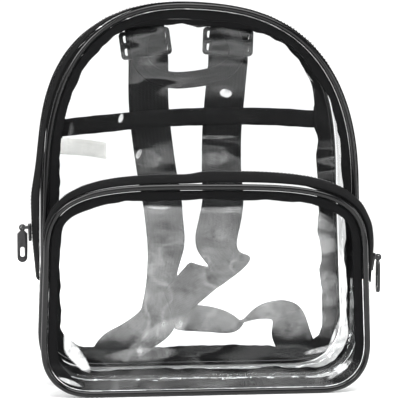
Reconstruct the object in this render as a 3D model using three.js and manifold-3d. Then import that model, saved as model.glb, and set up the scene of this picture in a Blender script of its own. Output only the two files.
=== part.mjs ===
// A small clear backpack with black trim, standing upright, empty and zipped shut.
// X runs across the bag, -Y is its front, +Z is up, and z = 0 is the surface it stands on.
// All lengths are in millimetres.
import * as THREE from "three";
import Module from "manifold-3d";

const wasm = await Module();
wasm.setup();

// Driving sizes of the bag's body
const bagWidth = 264;
const bagHeight = 305;
const bagDepth = 80;
const pocketDepth = 42;
const pocketBulge = 3;
const zipEndHeight = 84;
const film = 1;
const tapeThickness = 1;
const seamGap = 0.3;

// Edge piping and binding
const pipingRadius = 2.3;
const backPipingRadius = 1.6;
const bindingWidth = 7;
const backBindingWidth = 13.5;
const crownBindingWidth = 6;

// Zips
const zipTapeWidth = 16;
const zipCoilWidth = 6;
const zipCoilThickness = 2;
const sliderWidth = 10;
const sliderLength = 14;
const sliderThickness = 2.2;
const bridgeWire = 1.6;
const bridgeSpan = 6.4;
const sliderLift = 0.5;
const bridgeRise = 4;
const mainSlider = { wall: "main", side: -1, rise: 37, reach: 4.8, flat: false };
const pocketSlider = { wall: "pocket", side: 1, rise: 15, reach: 3.2, flat: true };
const pullLength = 28;
const pullWidth = 8;
const pullThickness = 1.8;
const pullEyeRadius = 1.45;
const pullEyeWall = 1.2;
const pullSlotWidth = 3.6;
const pullSlotLength = 8;

// Webbing, buckles, handle, band and label
const strapWidth = 35;
const strapThickness = 1.6;
const buckleWidth = 44.5;
const buckleHeight = 24;
const buckleThickness = 3.5;
const buckleSlotHeight = 6.5;
const buckleSideBar = 3.5;
const buckleBar = 3.2;
const handleWidth = 14.5;
const handleThickness = 1.6;
const bandWidth = 15.2;
const labelLength = 43;
const labelHeight = 14;
const labelThickness = 0.6;

// The three plates, from front to back, and the pocket's footprint on the main front. low and
// waist are heights, halfFoot and halfWaist are half widths there, power is the squareness of
// the arch above the waist, corner is the radius at the foot, lean tips the arch down towards
// the right, and sway moves it to the right.
const plates = {
  pocketFace: { y: -bagDepth / 2 - pocketDepth, halfFoot: 0.476 * bagWidth,
    halfWaist: 0.468 * bagWidth, low: 0, waist: 100, top: 160, power: 3.6, corner: 33, lean: 0, sway: 0 },
  pocketFoot: { y: -bagDepth / 2 - film / 2 - seamGap, halfFoot: 0.455 * bagWidth,
    halfWaist: 0.458 * bagWidth, low: 7, waist: 100, top: 164, power: 3.4, corner: 30,
    lean: 0, sway: 0 },
  front: { y: -bagDepth / 2, halfFoot: 0.494 * bagWidth, halfWaist: 0.477 * bagWidth,
    low: 0, waist: 150, top: bagHeight - 2 * film, power: 2.5, corner: 38, lean: 0.045, sway: 0 },
  back: { y: bagDepth / 2, halfFoot: bagWidth / 2, halfWaist: 0.492 * bagWidth,
    low: 0, waist: 151, top: bagHeight + film, power: 3.1, corner: 38, lean: 0, sway: -3 },
};

// Steps round half an outline, from the middle of the foot up to the crown
const stepCounts = { foot: 2, corner: 4, lowSide: 2, highSide: 2, arch: 12 };
const wholeSteps = Object.fromEntries(
  Object.entries(stepCounts).map(([stretch, count]) => [stretch, Math.round(count)]));
const pipingSides = 6;

// Swellings of the walls. side is -1 on the left and 1 on the right. height is a share of the
// bag's height, and depth, out, tall and long are shares of its depth: where the swelling is,
// how far it stands out, and its spread up the wall and from front to back.
const swellings = [
  { wall: "main", side: -1, height: 0.455, depth: -0.3, out: 0.1, tall: 0.38, long: 0.5 },
  { wall: "main", side: -1, height: 0.8, depth: -0.2, out: 0.02, tall: 0.8, long: 0.8 },
  { wall: "main", side: 1, height: 0.5, depth: 0.1, out: 0.03, tall: 0.9, long: 0.6 },
  { wall: "pocket", side: 1, height: 0.42, depth: -0.75, out: 0.075, tall: 0.45, long: 0.4 },
  { wall: "pocket", side: -1, height: 0.3, depth: -0.95, out: -0.07, tall: 0.5, long: 0.35 },
];
// How far each wall bows out between its two seams
const wallBow = { main: 2.4, pocket: 4.5 };

// Buckles: across and up are shares of the bag's half width and height, tilt is in degrees.
const buckles = [
  { side: "left", across: -0.317, up: 0.925, tilt: 8 },
  { side: "right", across: 0.234, up: 0.933, tilt: -2 },
];

// The webbing's way through a buckle, as shares of the buckle's height above its middle and of
// the depth from its middle to the layers before and behind it
const tabThread = [
  { up: 0.7, depth: -1 },
  { up: 0.5, depth: -1 },
  { up: 0.342, depth: -1 },
  { up: 0.121, depth: 1 },
  { up: -0.04, depth: 1 },
];
const strapThread = [
  { up: 0.04, depth: -1 },
  { up: -0.121, depth: -1 },
  { up: -0.342, depth: 1 },
  { up: -0.54, depth: 1 },
];

// The straps' runs below the buckles, a row for each bend or fold. across and up are shares of
// the bag's half width and height, behind is a share of the strap's width, turn is the direction
// of the strap's width seen from the front, dip is its tilt to the rear, both in degrees, and
// wide is the length of the row as a share of the strap's width.
const strapRuns = {
  left: [
    { across: -0.295, up: 0.858, behind: 0.25, turn: 2, dip: 0, wide: 1 },
    { across: -0.295, up: 0.765, behind: 0.28, turn: 1, dip: 3, wide: 1 },
    { across: -0.277, up: 0.678, behind: 0.36, turn: 5, dip: -3, wide: 1 },
    { across: -0.239, up: 0.563, behind: 0.5, turn: 8, dip: 4, wide: 1 },
    { across: -0.199, up: 0.475, behind: 0.66, turn: 7, dip: -4, wide: 1 },
    { across: -0.181, up: 0.41, behind: 0.84, turn: 3, dip: -8, wide: 0.98 },
    { across: -0.165, up: 0.335, behind: 1.0, turn: -1, dip: 16, wide: 1 },
    { across: -0.193, up: 0.245, behind: 1.1, turn: -1, dip: 37, wide: 1 },
    { across: -0.2, up: 0.171, behind: 1.0, turn: -9, dip: 20, wide: 1 },
    { across: -0.235, up: 0.114, behind: 0.85, turn: -36, dip: -4, wide: 1 },
    { across: -0.376, up: 0.073, behind: 0.6, turn: -45, dip: -8, wide: 0.95 },
    { across: -0.493, up: 0.054, behind: 0.35, turn: -32, dip: -6, wide: 0.96 },
    { across: -0.556, up: 0.029, behind: 0, turn: -2, dip: 0, wide: 1 },
  ],
  right: [
    { across: 0.236, up: 0.862, behind: 0.25, turn: -1, dip: 0, wide: 1 },
    { across: 0.214, up: 0.765, behind: 0.28, turn: -3, dip: -3, wide: 1 },
    { across: 0.2, up: 0.678, behind: 0.33, turn: -2, dip: 3, wide: 1 },
    { across: 0.198, up: 0.563, behind: 0.38, turn: 0, dip: -4, wide: 1 },
    { across: 0.211, up: 0.482, behind: 0.4, turn: 3, dip: 3, wide: 1.06 },
    { across: 0.191, up: 0.418, behind: 0.42, turn: -4, dip: -3, wide: 1.08 },
    { across: 0.165, up: 0.362, behind: 0.44, turn: -7, dip: 2, wide: 1.08 },
    { across: 0.182, up: 0.323, behind: 0.46, turn: -1, dip: 3, wide: 1.08 },
    { across: 0.265, up: 0.287, behind: 0.52, turn: 14, dip: 2, wide: 1.1 },
    { across: 0.158, up: 0.264, behind: 0.7, turn: -20, dip: 4, wide: 1.02 },
    { across: 0.09, up: 0.253, behind: 0.7, turn: -38, dip: -18, wide: 1 },
    { across: 0.042, up: 0.236, behind: 0.64, turn: -44, dip: -30, wide: 1 },
    { across: -0.04, up: 0.205, behind: 0.55, turn: -50, dip: -38, wide: 1 },
    { across: -0.131, up: 0.163, behind: 0.46, turn: -62, dip: -42, wide: 1 },
    { across: -0.128, up: 0.141, behind: 0.44, turn: -84, dip: -50, wide: 1 },
    { across: -0.02, up: 0.13, behind: 0.52, turn: -88, dip: -56, wide: 1 },
    { across: 0.12, up: 0.124, behind: 0.54, turn: -90, dip: -58, wide: 1 },
    { across: 0.235, up: 0.115, behind: 0.56, turn: -90, dip: -64, wide: 1 },
    { across: 0.309, up: 0.112, behind: 0.58, turn: -90, dip: -80, wide: 1 },
    { across: 0.364, up: 0.121, behind: 0.58, turn: 90, dip: -74, wide: 1 },
    { across: 0.459, up: 0.142, behind: 0.56, turn: 92, dip: -62, wide: 1 },
    { across: 0.581, up: 0.148, behind: 0.54, turn: 80, dip: -54, wide: 1 },
    { across: 0.648, up: 0.131, behind: 0.5, turn: 45, dip: -38, wide: 1 },
    { across: 0.672, up: 0.082, behind: 0.3, turn: 18, dip: -8, wide: 0.98 },
    { across: 0.702, up: 0.039, behind: 0, turn: 2, dip: 0, wide: 1 },
  ],
};
const strapSteps = 2;

// The carry handle's sag between the straps, with across and up as for the straps, and behind
// as a share of the handle's width
const handleRun = [
  { across: -0.325, up: 0.966, behind: 0 },
  { across: -0.36, up: 0.92, behind: 0 },
  { across: -0.35, up: 0.87, behind: 0.02 },
  { across: -0.265, up: 0.834, behind: 0.12 },
  { across: -0.14, up: 0.82, behind: 0.2 },
  { across: -0.01, up: 0.823, behind: 0.22 },
  { across: 0.125, up: 0.834, behind: 0.2 },
  { across: 0.24, up: 0.858, behind: 0.12 },
  { across: 0.29, up: 0.898, behind: 0.02 },
  { across: 0.27, up: 0.938, behind: 0 },
  { across: 0.24, up: 0.966, behind: 0 },
];
const handleSteps = 2;

// The cross band on the back panel. span is a share of half its length, up of the bag's height.
const bandRun = [
  { span: -1, up: 0.68 },
  { span: -0.65, up: 0.694 },
  { span: -0.24, up: 0.709 },
  { span: 0.12, up: 0.715 },
  { span: 0.41, up: 0.717 },
  { span: 0.7, up: 0.715 },
  { span: 1, up: 0.709 },
];
const labelPlace = { up: 0.629, tuck: 4, droop: 4 };

const halfWidth = plates.back.halfFoot;

const finishes = {
  film: { color: "#e9eeee", roughness: 0.08, metalness: 0, transparent: true, opacity: 0.3 },
  piping: { color: "#1b1b1d", roughness: 0.3, metalness: 0 },
  binding: { color: "#212124", roughness: 0.55, metalness: 0 },
  tape: { color: "#1d1d1f", roughness: 0.85, metalness: 0 },
  coil: { color: "#151516", roughness: 0.5, metalness: 0 },
  slider: { color: "#232325", roughness: 0.4, metalness: 0.6 },
  webbing: { color: "#2a2a2c", roughness: 0.8, metalness: 0 },
  buckle: { color: "#1c1c1e", roughness: 0.45, metalness: 0 },
  label: { color: "#f4f3f0", roughness: 0.7, metalness: 0 },
};

const clamp = THREE.MathUtils.clamp;
const mix = THREE.MathUtils.lerp;
const radians = THREE.MathUtils.degToRad;

// Points along a polyline at equal distances, ends included
function evenly(points, count) {
  const lengths = [0];
  for (let i = 1; i < points.length; i++) {
    lengths.push(lengths[i - 1] + points[i].distanceTo(points[i - 1]));
  }
  const total = lengths[lengths.length - 1];
  const result = [];
  for (let k = 0; k <= count; k++) {
    const wanted = (total * k) / count;
    let i = 1;
    while (i < points.length - 1 && lengths[i] < wanted) i++;
    const share = (wanted - lengths[i - 1]) / (lengths[i] - lengths[i - 1]);
    result.push(points[i - 1].clone().lerp(points[i], share));
  }
  return result;
}

// Half of a plate's outline, from the middle of its foot to its crown, as x and height
function halfOutline(plate) {
  const { halfFoot, halfWaist, low, waist, top, power, corner } = plate;
  const sideAt = (z) => mix(halfFoot, halfWaist, clamp((z - low - corner) / (waist - low - corner), 0, 1));
  const line = (ax, az, bx, bz, count) =>
    evenly([new THREE.Vector2(ax, az), new THREE.Vector2(bx, bz)], count);
  const bend = [];
  for (let k = 0; k <= wholeSteps.corner; k++) {
    const angle = (Math.PI / 2) * (k / wholeSteps.corner);
    bend.push(new THREE.Vector2(halfFoot - corner + corner * Math.sin(angle),
      low + corner - corner * Math.cos(angle)));
  }
  const fine = [];
  for (let k = 0; k <= 200; k++) {
    const angle = (Math.PI / 2) * (k / 200);
    fine.push(new THREE.Vector2(halfWaist * Math.cos(angle) ** (2 / power),
      waist + (top - waist) * Math.sin(angle) ** (2 / power)));
  }
  const pieces = [
    line(0, low, halfFoot - corner, low, wholeSteps.foot),
    bend,
    line(halfFoot, low + corner, sideAt(zipEndHeight), zipEndHeight, wholeSteps.lowSide),
    line(sideAt(zipEndHeight), zipEndHeight, halfWaist, waist, wholeSteps.highSide),
    evenly(fine, wholeSteps.arch),
  ];
  return pieces.flatMap((piece, index) => (index ? piece.slice(1) : piece));
}

// The whole outline, from the middle of the foot round by the right side and back
function outline(plate) {
  const right = halfOutline(plate);
  const left = right.slice(1, -1).reverse().map((p) => new THREE.Vector2(-p.x, p.y));
  return [...right, ...left].map((p) => {
    const rise = clamp((p.y - plate.waist) / (plate.top - plate.waist), 0, 1);
    const sway = plate.sway * clamp(p.y / plate.waist, 0, 1);
    return new THREE.Vector2(p.x + sway, p.y - plate.lean * p.x * rise);
  });
}

// An outline's outward directions, one for each point
function outwards(points) {
  return points.map((_, i) => {
    const before = points[(i + points.length - 1) % points.length];
    const after = points[(i + 1) % points.length];
    const along = after.clone().sub(before).normalize();
    return new THREE.Vector2(along.y, -along.x);
  });
}

function inset(points, distance) {
  const out = outwards(points);
  return points.map((p, i) => p.clone().addScaledVector(out[i], -distance));
}

const outlines = Object.fromEntries(Object.entries(plates).map(([name, plate]) => [name, outline(plate)]));
const roundCount = outlines.front.length;
const splitIndex = wholeSteps.foot + wholeSteps.corner + wholeSteps.lowSide;
const archIndexes = [];
for (let i = splitIndex; i <= roundCount - splitIndex; i++) archIndexes.push(i);
const footIndexes = [];
for (let i = -splitIndex; i <= splitIndex; i++) footIndexes.push((i + roundCount) % roundCount);

// Triangles over shared points, turned so that the faces point out of the solid
function solid(points, triangles) {
  let volume = 0;
  for (const [a, b, c] of triangles) {
    volume += points[a].dot(points[b].clone().cross(points[c]));
  }
  const index = triangles.flatMap(([a, b, c]) => (volume < 0 ? [a, c, b] : [a, b, c]));
  const geometry = new THREE.BufferGeometry().setFromPoints(points);
  geometry.setIndex(index);
  geometry.computeVertexNormals();
  return geometry;
}

// A sheet with two skins. rows holds, for each step along it, the pairs [outer, inner] across it.
function sheet(rows, closed = false) {
  const across = rows[0].length;
  const points = rows.flat(2);
  const at = (i, j, skin) => (((i % rows.length) * across) + j) * 2 + skin;
  const triangles = [];
  const quad = (a, b, c, d) => triangles.push([a, b, c], [a, c, d]);
  const last = closed ? rows.length : rows.length - 1;
  for (let i = 0; i < last; i++) {
    for (let j = 0; j < across - 1; j++) {
      quad(at(i, j, 0), at(i + 1, j, 0), at(i + 1, j + 1, 0), at(i, j + 1, 0));
      quad(at(i, j, 1), at(i, j + 1, 1), at(i + 1, j + 1, 1), at(i + 1, j, 1));
    }
    quad(at(i, 0, 0), at(i, 0, 1), at(i + 1, 0, 1), at(i + 1, 0, 0));
    quad(at(i, across - 1, 0), at(i + 1, across - 1, 0), at(i + 1, across - 1, 1), at(i, across - 1, 1));
  }
  if (!closed) {
    const end = rows.length - 1;
    for (let j = 0; j < across - 1; j++) {
      quad(at(0, j, 0), at(0, j + 1, 0), at(0, j + 1, 1), at(0, j, 1));
      quad(at(end, j, 0), at(end, j, 1), at(end, j + 1, 1), at(end, j + 1, 0));
    }
  }
  return solid(points, triangles);
}

// A film plate inside an outline, bulged along Y in the middle
function platePanel(points, y, bulge) {
  const centre = new THREE.Vector2(0, points.reduce((sum, p) => sum + p.y, 0) / points.length);
  const shares = [1, 0.82, 0.55, 0.26];
  const all = [];
  for (const skin of [-1, 1]) {
    for (const share of shares) {
      for (const p of points) {
        const flat = centre.clone().lerp(p, share);
        all.push(new THREE.Vector3(flat.x, y + bulge * (1 - share * share) + (skin * film) / 2, flat.y));
      }
    }
    all.push(new THREE.Vector3(centre.x, y + bulge + (skin * film) / 2, centre.y));
  }
  const count = points.length;
  const skinSize = shares.length * count + 1;
  const at = (skin, ring, i) => skin * skinSize + ring * count + (i % count);
  const triangles = [];
  for (let i = 0; i < count; i++) {
    for (const skin of [0, 1]) {
      const add = (a, b, c) => triangles.push(skin ? [a, c, b] : [a, b, c]);
      for (let ring = 0; ring < shares.length - 1; ring++) {
        add(at(skin, ring, i), at(skin, ring, i + 1), at(skin, ring + 1, i + 1));
        add(at(skin, ring, i), at(skin, ring + 1, i + 1), at(skin, ring + 1, i));
      }
      add(at(skin, shares.length - 1, i), at(skin, shares.length - 1, i + 1), (skin + 1) * skinSize - 1);
    }
    triangles.push([at(0, 0, i), at(1, 0, i), at(1, 0, i + 1)], [at(0, 0, i), at(1, 0, i + 1), at(0, 0, i + 1)]);
  }
  return solid(all, triangles);
}

// A round bead that follows a closed outline
function beadRing(points, y, radius) {
  const out = outwards(points);
  const all = [];
  const triangles = [];
  points.forEach((p, i) => {
    for (let k = 0; k < pipingSides; k++) {
      const angle = (2 * Math.PI * (k + 0.5)) / pipingSides;
      const reach = radius * Math.sin(angle);
      all.push(new THREE.Vector3(p.x + out[i].x * reach, y + radius * Math.cos(angle), p.y + out[i].y * reach));
      const a = i * pipingSides + k;
      const b = i * pipingSides + ((k + 1) % pipingSides);
      const next = ((i + 1) % points.length) * pipingSides;
      const c = next + ((k + 1) % pipingSides);
      const d = next + k;
      triangles.push([a, b, c], [a, c, d]);
    }
  });
  return solid(all, triangles);
}

// How wide a binding is at each point of an outline: it narrows from the shoulders to the crown
function bindingWidths(points, width, crownWidth) {
  const top = Math.max(...points.map((p) => p.y));
  return points.map((p) => mix(width, crownWidth, clamp((p.y / top - 0.72) / 0.2, 0, 1)));
}

// A flat tape that follows a closed outline in a plate's plane, from an inset on inwards
function flatRing(points, y, outerInset, widths) {
  const out = outwards(points);
  const outer = inset(points, outerInset);
  const inner = outer.map((p, i) => p.clone().addScaledVector(out[i], -widths[i]));
  const lift = (p, side) => new THREE.Vector3(p.x, y + (side * tapeThickness) / 2, p.y);
  return sheet(outer.map((p, i) => [[lift(p, -1), lift(p, 1)], [lift(inner[i], -1), lift(inner[i], 1)]]), true);
}

// How far a wall swells outwards at a place
function swell(wall, x, y, z) {
  return swellings.filter((row) => row.wall === wall && row.side * x > 0).reduce((sum, row) => {
    const up = (z - row.height * bagHeight) / (row.tall * bagDepth);
    const deep = (y - row.depth * bagDepth) / (row.long * bagDepth);
    return sum + row.out * bagDepth * Math.exp(-up * up - deep * deep);
  }, 0);
}

// The point of a wall between two plates at an outline's step and a depth, sunk by a distance
function wallPoint(wall, near, far, i, y, sunk) {
  const share = (y - plates[near].y) / (plates[far].y - plates[near].y);
  const from = outlines[near];
  const to = outlines[far];
  const flat = from[i].clone().lerp(to[i], share);
  const out = outwards(from)[i].lerp(outwards(to)[i], share).normalize();
  const rise = clamp((flat.y - plates[near].corner / 3) / plates[near].corner, 0, 1);
  const seam = clamp(4 * share * (1 - share), 0, 1);
  const bow = rise * (wallBow[wall] * seam + swell(wall, flat.x, y, flat.y) * Math.sqrt(seam));
  flat.addScaledVector(out, bow - sunk);
  return new THREE.Vector3(flat.x, y, flat.y);
}

// A strip of a wall over some stepCounts of the outline, between two depths
function wallStrip(wall, near, far, indexes, fromY, toY, cuts, thickness, proud = 0) {
  const rows = indexes.map((i) => {
    const row = [];
    for (let k = 0; k <= cuts; k++) {
      const y = mix(fromY, toY, k / cuts);
      row.push([wallPoint(wall, near, far, i, y, -proud), wallPoint(wall, near, far, i, y, thickness)]);
    }
    return row;
  });
  return sheet(rows);
}

// Drops the two top ends of a strip round the foot, so that it clears the strip above it
function lowerEnds(geometry, rowSize) {
  const position = geometry.attributes.position;
  for (let k = 0; k < position.count; k++) {
    if (k < rowSize || k >= position.count - rowSize) position.setZ(k, position.getZ(k) - seamGap);
  }
  return geometry;
}

// A ribbon through rows of centre, width direction and width
function ribbon(rows, thickness) {
  const sections = rows.map((row, i) => {
    const before = rows[Math.max(i - 1, 0)].centre;
    const after = rows[Math.min(i + 1, rows.length - 1)].centre;
    const along = after.clone().sub(before).normalize();
    const face = row.side.clone().cross(along).normalize();
    return [-0.5, 0.5].map((share) => {
      const edge = row.centre.clone().addScaledVector(row.side, share * row.width);
      return [1, -1].map((skin) => edge.clone().addScaledVector(face, (skin * thickness) / 2));
    });
  });
  return sheet(sections);
}

// Rows with smooth stepCounts between them
function smoothRows(rows, count) {
  const centres = new THREE.CatmullRomCurve3(rows.map((row) => row.centre), false, "centripetal");
  const sides = new THREE.CatmullRomCurve3(rows.map((row) => row.side), false, "catmullrom", 0.4);
  const result = [];
  const total = (rows.length - 1) * count;
  for (let k = 0; k <= total; k++) {
    const place = k / total;
    const i = Math.min(Math.floor(k / count), rows.length - 2);
    result.push({
      centre: centres.getPoint(place),
      side: sides.getPoint(place).normalize(),
      width: mix(rows[i].width, rows[i + 1].width, k / count - i),
    });
  }
  return result;
}

// Closed geometry as a solid for joining, and back
function forJoining(geometry) {
  const position = geometry.attributes.position;
  const found = new Map();
  const kept = [];
  const index = geometry.index ? [...geometry.index.array] : [...Array(position.count).keys()];
  const triVerts = index.map((k) => {
    const place = [position.getX(k), position.getY(k), position.getZ(k)];
    const key = place.map((value) => value.toFixed(4)).join();
    if (!found.has(key)) {
      found.set(key, kept.length / 3);
      kept.push(...place);
    }
    return found.get(key);
  });
  return new wasm.Manifold(new wasm.Mesh({
    numProp: 3,
    vertProperties: new Float32Array(kept),
    triVerts: new Uint32Array(triVerts),
  }));
}

function joined(...geometries) {
  const whole = geometries.map(forJoining).reduce((sum, next) => sum.add(next));
  const mesh = whole.getMesh();
  const geometry = new THREE.BufferGeometry();
  geometry.setAttribute("position", new THREE.BufferAttribute(mesh.vertProperties, 3));
  geometry.setIndex(new THREE.BufferAttribute(mesh.triVerts, 1));
  geometry.computeVertexNormals();
  return geometry;
}

// A rectangle with round corners, as a path for a shape or a hole
function roundedPath(PathClass, width, height, radius, y = 0) {
  const path = new PathClass();
  const x = width / 2;
  path.moveTo(-x + radius, y - height / 2);
  path.lineTo(x - radius, y - height / 2);
  path.absarc(x - radius, y - height / 2 + radius, radius, -Math.PI / 2, 0);
  path.lineTo(x, y + height / 2 - radius);
  path.absarc(x - radius, y + height / 2 - radius, radius, 0, Math.PI / 2);
  path.lineTo(-x + radius, y + height / 2);
  path.absarc(-x + radius, y + height / 2 - radius, radius, Math.PI / 2, Math.PI);
  path.lineTo(-x, y - height / 2 + radius);
  path.absarc(-x + radius, y - height / 2 + radius, radius, Math.PI, Math.PI * 1.5);
  return path;
}

// A flat plate from a shape drawn in X and Z, centred on Y
function plateFrom(shape, thickness, curveSegments) {
  const geometry = new THREE.ExtrudeGeometry(shape, { depth: thickness, bevelEnabled: false, curveSegments });
  geometry.translate(0, 0, -thickness / 2);
  geometry.rotateX(Math.PI / 2);
  return geometry;
}

const bag = new THREE.Group();

function add(name, geometry, finish, parent = bag) {
  const mesh = new THREE.Mesh(geometry, new THREE.MeshStandardMaterial(finishes[finish]));
  mesh.name = name;
  parent.add(mesh);
  return mesh;
}

// Film panels, with their edge beads and the bindings on their inner side
function addPlate({ name, trim, plate, bead, binding, crown, inner, bulge }) {
  const { y } = plates[plate];
  const edge = outlines[plate];
  const layer = inner * (film / 2 + seamGap + tapeThickness / 2);
  const filmInset = 2 * bead + seamGap;
  add(name, platePanel(inset(edge, filmInset), y, bulge), "film");
  add(trim + "_piping", beadRing(inset(edge, bead), y, bead), "piping");
  add(trim + "_binding", flatRing(edge, y + layer, filmInset, bindingWidths(edge, binding, crown)), "binding");
}

addPlate({ name: "pocket_face", trim: "pocket", plate: "pocketFace", bead: pipingRadius,
  binding: bindingWidth, crown: bindingWidth, inner: 1, bulge: -pocketBulge });
addPlate({ name: "front_panel", trim: "front", plate: "front", bead: pipingRadius,
  binding: bindingWidth, crown: bindingWidth, inner: 1, bulge: 0 });
addPlate({ name: "back_panel", trim: "back", plate: "back", bead: backPipingRadius,
  binding: backBindingWidth, crown: crownBindingWidth, inner: -1, bulge: 0 });

// The walls between the plates: a zip over the arch and clear film below and behind it
const walls = {
  main: { near: "front", far: "back", from: plates.front.y + pipingRadius + seamGap,
    to: plates.back.y - backPipingRadius - seamGap },
  pocket: { near: "pocketFace", far: "pocketFoot", from: plates.pocketFace.y + pipingRadius + seamGap,
    to: plates.pocketFoot.y },
};
for (const wall of Object.values(walls)) {
  wall.coilFrom = wall.from + zipTapeWidth + seamGap;
  wall.coilMiddle = wall.coilFrom + zipCoilWidth / 2;
  wall.rearFrom = wall.coilFrom + zipCoilWidth + seamGap;
  wall.rearTo = Math.min(wall.rearFrom + zipTapeWidth, wall.to);
}

function addWall(name, filmBelow, filmCuts) {
  const { near, far, from, to, coilFrom, rearFrom, rearTo } = walls[name];
  const half = zipCoilThickness / 2;
  const arch = (start, end, cuts, depth, proud) =>
    wallStrip(name, near, far, archIndexes, start, end, cuts, depth, proud);
  add(name + "_tape_front", arch(from, from + zipTapeWidth, 2, tapeThickness), "tape");
  add(name + "_coil", arch(coilFrom, coilFrom + zipCoilWidth, 1, half, half), "coil");
  add(name + "_tape_rear", arch(rearFrom, rearTo, 2, tapeThickness), "tape");
  const foot = wallStrip(name, near, far, footIndexes, from, to, filmCuts, film);
  add(filmBelow, lowerEnds(foot, 2 * (filmCuts + 1)), "film");
  if (to - rearTo > zipTapeWidth) {
    add("gusset_top", arch(rearTo + seamGap, to, 3, film), "film");
  }
}

addWall("main", "gusset_bottom", 5);
addWall("pocket", "pocket_gusset", 4);

// The point on a wall's side at a height, with the wall's slope there
function sideOfWall(name, side, height, y) {
  const { near, far } = walls[name];
  const points = archIndexes.map((i) => wallPoint(name, near, far, i, y, 0)).filter((p) => p.x * side > 0);
  if (side < 0) points.reverse();
  const above = points.findIndex((p) => p.z > height);
  const low = points[above - 1];
  const high = points[above];
  const point = low.clone().lerp(high, (height - low.z) / (high.z - low.z));
  return { point, slope: Math.atan2(high.x - low.x, high.z - low.z) };
}

// A zip slider, drawn with its outward side along +X, its zip along Z and its bridge's bar along Y
function sliderBody(reach) {
  const half = sliderWidth / 2;
  const shape = new THREE.Shape([
    [-half * 0.62, -sliderLength / 2], [half * 0.62, -sliderLength / 2],
    [half * 0.8, -sliderLength * 0.1], [half, sliderLength * 0.2],
    [half * 0.86, sliderLength / 2], [-half * 0.86, sliderLength / 2],
    [-half, sliderLength * 0.2], [-half * 0.8, -sliderLength * 0.1],
  ].map(([across, up]) => new THREE.Vector2(across, up)));
  const bevel = sliderThickness * 0.25;
  const body = new THREE.ExtrudeGeometry(shape, { depth: sliderThickness - bevel, bevelSegments: 1,
    bevelThickness: bevel / 2, bevelSize: bevel, bevelOffset: -bevel });
  body.translate(0, 0, bevel / 2);
  body.rotateX(Math.PI / 2);
  body.rotateZ(Math.PI / 2);
  const top = sliderThickness + reach;
  const bar = new THREE.BoxGeometry(bridgeWire, bridgeSpan, bridgeWire);
  bar.translate(top, 0, bridgeRise);
  const post = (side) => {
    const made = new THREE.BoxGeometry(reach + bridgeWire, bridgeWire, bridgeWire * 1.4);
    made.translate(top - reach / 2, (side * bridgeSpan) / 2, bridgeRise);
    return made;
  };
  return joined(body, bar, post(1), post(-1));
}

// A ring in X and Z round the origin, where a pull hangs
function pullEye(width) {
  const shape = new THREE.Shape();
  shape.absarc(0, 0, pullEyeRadius + pullEyeWall, 0, 2 * Math.PI);
  const hole = new THREE.Path();
  hole.absarc(0, 0, pullEyeRadius, 0, 2 * Math.PI);
  shape.holes = [hole];
  return plateFrom(shape, width, 8);
}

// A pull that hangs from its eye at the origin, as a plate in X and Z, or turned to lie flat
// against a wall
function pullPlate(flat) {
  const eye = pullEyeRadius + pullEyeWall;
  const half = pullWidth / 2;
  const shoulder = eye * 1.9;
  const neck = pullEyeRadius + pullEyeWall / 2;
  const shape = new THREE.Shape();
  shape.moveTo(-pullEyeWall, -neck);
  shape.lineTo(-half, -shoulder);
  shape.absarc(0, half - pullLength, half, Math.PI, 2 * Math.PI);
  shape.lineTo(half, -shoulder);
  shape.lineTo(pullEyeWall, -neck);
  const slotMiddle = half * 1.55 - pullLength + (pullSlotLength - pullSlotWidth) / 2;
  shape.holes = [roundedPath(THREE.Path, pullSlotWidth, pullSlotLength, pullSlotWidth * 0.45, slotMiddle)];
  const plate = plateFrom(shape, pullThickness, 8);
  if (flat) plate.rotateZ(Math.PI / 2);
  return joined(pullEye(pullThickness * 1.6), plate);
}

function addSlider(name, { wall, side, rise, reach, flat }) {
  const { point, slope } = sideOfWall(wall, side, zipEndHeight + rise, walls[wall].coilMiddle);
  const slider = new THREE.Group();
  slider.position.copy(point);
  slider.rotation.set(0, side > 0 ? slope : slope + Math.PI, 0);
  slider.updateMatrix();
  bag.add(slider);
  const body = add(name + "_slider", sliderBody(reach), "slider", slider);
  const lift = zipCoilThickness / 2 + sliderLift;
  body.position.x = lift;
  const eye = new THREE.Vector3(lift + sliderThickness + reach, 0, bridgeRise * (side > 0 ? 1 : -1));
  if (side < 0) body.rotation.x = Math.PI;
  const pull = add(name + "_pull", pullPlate(flat), "slider");
  pull.position.copy(eye.applyMatrix4(slider.matrix));
}

addSlider("main", mainSlider);
addSlider("pocket", pocketSlider);

// Webbing layers behind the back panel, from the panel outwards
const backFace = plates.back.y + film / 2 + seamGap;
const layers = { handle: backFace + handleThickness / 2 };
layers.tab = backFace + handleThickness + seamGap + strapThickness / 2;
layers.buckle = layers.tab + strapThickness / 2 + seamGap + buckleThickness / 2;

const place = (row, y) => new THREE.Vector3(row.across * halfWidth, y, row.up * bagHeight);

function sideways(turn, dip) {
  return new THREE.Vector3(
    Math.cos(radians(turn)) * Math.cos(radians(dip)),
    Math.sin(radians(dip)),
    Math.sin(radians(turn)) * Math.cos(radians(dip)));
}

// A ladder buckle with two slots for webbing
function buckleFrame() {
  const shape = roundedPath(THREE.Shape, buckleWidth, buckleHeight, buckleSideBar);
  const slotMiddle = buckleHeight / 2 - buckleBar - buckleSlotHeight / 2;
  shape.holes = [-1, 1].map((side) => roundedPath(THREE.Path, buckleWidth - 2 * buckleSideBar,
    buckleSlotHeight, buckleSlotHeight / 4, side * slotMiddle));
  return plateFrom(shape, buckleThickness, 3);
}

// The webbing's rows where it threads a buckle
function threadRows(buckle, thread) {
  const middle = place(buckle, layers.buckle);
  const up = sideways(buckle.tilt + 90, 0);
  const side = sideways(buckle.tilt, 0);
  const reach = layers.buckle - layers.tab;
  return thread.map((row) => ({
    centre: middle.clone().addScaledVector(up, row.up * buckleHeight).add(new THREE.Vector3(0, row.depth * reach, 0)),
    side,
    width: strapWidth,
  }));
}

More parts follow.
